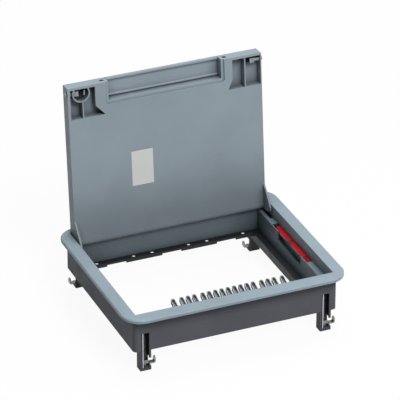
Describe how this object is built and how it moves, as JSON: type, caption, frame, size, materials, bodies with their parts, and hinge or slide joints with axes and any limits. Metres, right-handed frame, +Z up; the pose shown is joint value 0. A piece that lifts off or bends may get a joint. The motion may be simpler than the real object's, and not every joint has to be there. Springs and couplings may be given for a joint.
{
  "type": "floor socket box",
  "caption": "Rectangular floor socket box with a flanged frame, hinged lid with a flap for cables, cable comb, support rails and screw-driven floor claws.",
  "frame": {"origin": "centre of the frame in plan, at the finished floor level, which is the underside of the flange", "axes": "+X along the frame's long side, +Y towards the lid hinge, +Z up out of the floor"},
  "size_m": [0.264, 0.2268, 0.25],
  "materials": {
    "frame": "fine textured moulding",
    "shell": "fine textured moulding",
    "rail": "black powder coat",
    "lid": "fine textured moulding",
    "red": "smooth",
    "comb": "matt",
    "steel": "zinc plated",
    "plate": "galvanised sheet",
    "pin": "matt",
    "label": "blank sticker",
    "screw": "black zinc plated"
  },
  "bodies": {
    "base": {"trim_frame": "frame", "body_shell": "shell", "claw_guides": "steel", "support_rail_front": "rail", "support_rail_back": "rail", "side_rail_left": "rail", "side_rail_right": "rail", "cable_comb": "comb", "hinge_pin_left": "steel", "hinge_pin_right": "steel"},
    "lid": {"lid_tray": "lid", "lid_plate": "plate", "lid_plate_screws": "steel", "lid_label": "label", "flap_pins": "steel", "latch_spring_left": "steel", "latch_spring_right": "steel"},
    "flap": {"outlet_flap": "lid"},
    "latch_left": {"latch_pin_left": "pin"},
    "latch_right": {"latch_pin_right": "pin"},
    "slide_left": {"release_slide_left": "red"},
    "slide_right": {"release_slide_right": "red"},
    "screw_front_left": {"claw_screw_front_left": "screw"},
    "nut_front_left": {"claw_nut_front_left": "steel"},
    "hook_front_left": {"claw_hook_front_left": "steel"},
    "screw_front_right": {"claw_screw_front_right": "screw"},
    "nut_front_right": {"claw_nut_front_right": "steel"},
    "hook_front_right": {"claw_hook_front_right": "steel"},
    "screw_back_right": {"claw_screw_back_right": "screw"},
    "nut_back_right": {"claw_nut_back_right": "steel"},
    "hook_back_right": {"claw_hook_back_right": "steel"},
    "screw_back_left": {"claw_screw_back_left": "screw"},
    "nut_back_left": {"claw_nut_back_left": "steel"},
    "hook_back_left": {"claw_hook_back_left": "steel"}
  },
  "joints": [
    {"name": "lid_hinge", "type": "hinge", "parent": "base", "child": "lid", "pos_m": [0, 0.093, -0.003], "axis": [1, 0, 0], "range_deg": [0, 95]},
    {"name": "flap_hinge", "type": "hinge", "parent": "lid", "child": "flap", "pos_m": [0, 0.11268, 0.16231], "axis": [-1, 0, 0], "range_deg": [0, 90]},
    {"name": "latch_left_slide", "type": "slide", "parent": "lid", "child": "latch_left", "axis": [1, 0, 0], "range_m": [0, 0.0025], "stiffness_N_per_m": 300, "springref_m": -0.002, "deforming": ["latch_spring_left"]},
    {"name": "latch_right_slide", "type": "slide", "parent": "lid", "child": "latch_right", "axis": [-1, 0, 0], "range_m": [0, 0.0025], "stiffness_N_per_m": 300, "springref_m": -0.002, "deforming": ["latch_spring_right"]},
    {"name": "release_left_slide", "type": "slide", "parent": "base", "child": "slide_left", "axis": [0, 1, 0], "range_m": [0, 0.006]},
    {"name": "release_right_slide", "type": "slide", "parent": "base", "child": "slide_right", "axis": [0, 1, 0], "range_m": [0, 0.006]},
    {"name": "nut_climb_front_left", "type": "slide", "parent": "base", "child": "nut_front_left", "axis": [0, 0, 1], "range_m": [0, 0.008]},
    {"name": "screw_turn_front_left", "type": "hinge", "parent": "base", "child": "screw_front_left", "pos_m": [-0.1065, -0.0935, -0.04], "axis": [0, 0, -1], "continuous": true},
    {"name": "hook_swing_front_left", "type": "hinge", "parent": "nut_front_left", "child": "hook_front_left", "pos_m": [-0.1065, -0.0935, -0.06], "axis": [0, 0, -1], "range_deg": [0, 90]},
    {"name": "nut_climb_front_right", "type": "slide", "parent": "base", "child": "nut_front_right", "axis": [0, 0, 1], "range_m": [0, 0.008]},
    {"name": "screw_turn_front_right", "type": "hinge", "parent": "base", "child": "screw_front_right", "pos_m": [0.1083, -0.0935, -0.04], "axis": [0, 0, -1], "continuous": true},
    {"name": "hook_swing_front_right", "type": "hinge", "parent": "nut_front_right", "child": "hook_front_right", "pos_m": [0.1083, -0.0935, -0.06], "axis": [0, 0, -1], "range_deg": [0, 90]},
    {"name": "nut_climb_back_right", "type": "slide", "parent": "base", "child": "nut_back_right", "axis": [0, 0, 1], "range_m": [0, 0.008]},
    {"name": "screw_turn_back_right", "type": "hinge", "parent": "base", "child": "screw_back_right", "pos_m": [0.1065, 0.099, -0.04], "axis": [0, 0, -1], "continuous": true},
    {"name": "hook_swing_back_right", "type": "hinge", "parent": "nut_back_right", "child": "hook_back_right", "pos_m": [0.1065, 0.099, -0.06], "axis": [0, 0, -1], "range_deg": [0, 90]},
    {"name": "nut_climb_back_left", "type": "slide", "parent": "base", "child": "nut_back_left", "axis": [0, 0, 1], "range_m": [0, 0.008]},
    {"name": "screw_turn_back_left", "type": "hinge", "parent": "base", "child": "screw_back_left", "pos_m": [-0.1083, 0.099, -0.04], "axis": [0, 0, -1], "continuous": true},
    {"name": "hook_swing_back_left", "type": "hinge", "parent": "nut_back_left", "child": "hook_back_left", "pos_m": [-0.1083, 0.099, -0.06], "axis": [0, 0, -1], "range_deg": [0, 90]}
  ],
  "couplings": [
    {"joint": "screw_turn_front_left", "follows": "nut_climb_front_left", "rad_per_m": 10472},
    {"joint": "screw_turn_front_right", "follows": "nut_climb_front_right", "rad_per_m": 10472},
    {"joint": "screw_turn_back_right", "follows": "nut_climb_back_right", "rad_per_m": 10472},
    {"joint": "screw_turn_back_left", "follows": "nut_climb_back_left", "rad_per_m": 10472}
  ]
}
